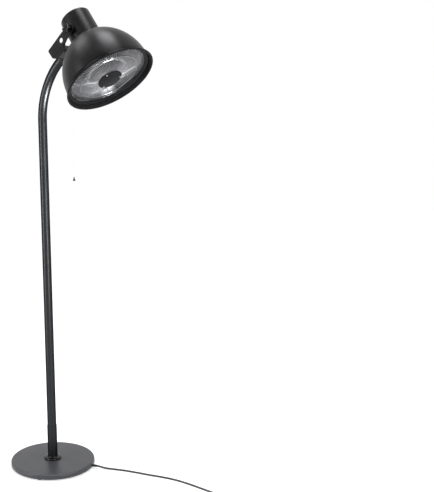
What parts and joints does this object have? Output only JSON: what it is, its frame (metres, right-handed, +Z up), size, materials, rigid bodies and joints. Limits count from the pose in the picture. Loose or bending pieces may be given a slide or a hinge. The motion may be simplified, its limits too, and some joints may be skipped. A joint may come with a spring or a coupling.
{
  "type": "infrared patio heater",
  "caption": "Floor-standing ring-lamp patio heater: round weighted base, pole curved over at the top, dome head that tilts in a yoke with clamp knobs and a pull cord.",
  "frame": {"origin": "middle of the plate under the base, on the pole's axis; the rubber feet reach 4 mm lower", "axes": "+Z up along the pole; the pole curves over and the head leans towards -Y; +X is the side of the pull cord"},
  "size_m": [0.3975, 0.9562, 1.9034],
  "materials": {
    "satin_paint": "satin dark grey powder coat",
    "cast_iron": "rough black casting",
    "rubber": "matt black rubber",
    "cord": "matt black cord sheath",
    "zinc_steel": "zinc plated steel",
    "gloss_black": "glossy black plastic",
    "black_plastic": "matt black plastic",
    "yoke_paint": "satin black paint",
    "brushed_black": "brushed dark grey, clear coated",
    "black_enamel": "glossy black enamel",
    "chrome": "bright chrome",
    "quartz": "clear quartz",
    "ceramic": "unglazed white ceramic",
    "string": "white braided cord",
    "brass": "plated brass"
  },
  "bodies": {
    "stand": {"base_cover": "satin_paint", "base_weight": "cast_iron", "base_plate": "satin_paint", "rubber_foot_1": "rubber", "rubber_foot_2": "rubber", "rubber_foot_3": "rubber", "rubber_foot_4": "rubber", "rubber_foot_5": "rubber", "pole_flange": "zinc_steel", "base_collar": "gloss_black", "tilt_switch": "black_plastic", "cord_relief": "rubber", "pole_socket": "satin_paint", "lower_pole": "satin_paint", "pole_sleeve": "zinc_steel", "upper_pole": "satin_paint", "inner_cable": "black_plastic", "yoke_strap": "yoke_paint", "yoke_cover": "black_plastic", "pull_switch": "black_plastic", "pole_spigot": "zinc_steel", "string_guide": "black_plastic", "mains_cord": "cord", "cord_coil": "cord", "cord_tie": "cord", "plug_body": "cord", "plug_pins": "brass"},
    "head": {"pivot_boss_left": "yoke_paint", "pivot_boss_right": "yoke_paint", "neck_housing": "brushed_black", "neck_ring": "zinc_steel", "dome_shade": "brushed_black", "rim_ring": "black_enamel", "front_ring": "black_enamel", "grille": "chrome", "grille_ring": "chrome", "centre_disc": "black_enamel", "grille_clamp": "zinc_steel", "reflector": "chrome", "heat_shield": "zinc_steel", "support_post_1": "zinc_steel", "support_post_2": "zinc_steel", "support_post_3": "zinc_steel", "terminal_block": "ceramic", "ring_lamp": "quartz", "lamp_cap_1": "ceramic", "lamp_cap_2": "ceramic", "lamp_clip_1": "zinc_steel", "lamp_clip_2": "zinc_steel", "lamp_clip_3": "zinc_steel", "friction_washer_left": "black_plastic", "friction_washer_right": "black_plastic"},
    "left_clamp": {"knob_left": "gloss_black", "knob_stud_left": "zinc_steel"},
    "right_clamp": {"knob_right": "gloss_black", "knob_stud_right": "zinc_steel"},
    "pull_cord": {"pull_string": "string", "pull_bell": "gloss_black"}
  },
  "joints": [
    {"name": "head_tilt", "type": "hinge", "parent": "stand", "child": "head", "pos_m": [0, -0.25478, 1.80638], "axis": [-1, 0, 0], "range_deg": [-15, 35]},
    {"name": "left_knob_turn", "type": "hinge", "parent": "head", "child": "left_clamp", "pos_m": [0, -0.25478, 1.80638], "axis": [-1, 0, 0], "range_deg": [0, 360]},
    {"name": "right_knob_turn", "type": "hinge", "parent": "head", "child": "right_clamp", "pos_m": [0, -0.25478, 1.80638], "axis": [1, 0, 0], "range_deg": [0, 360]},
    {"name": "cord_pull", "type": "slide", "parent": "stand", "child": "pull_cord", "axis": [0, 0, -1], "range_m": [0, 0.01], "stiffness_N_per_m": 200}
  ]
}
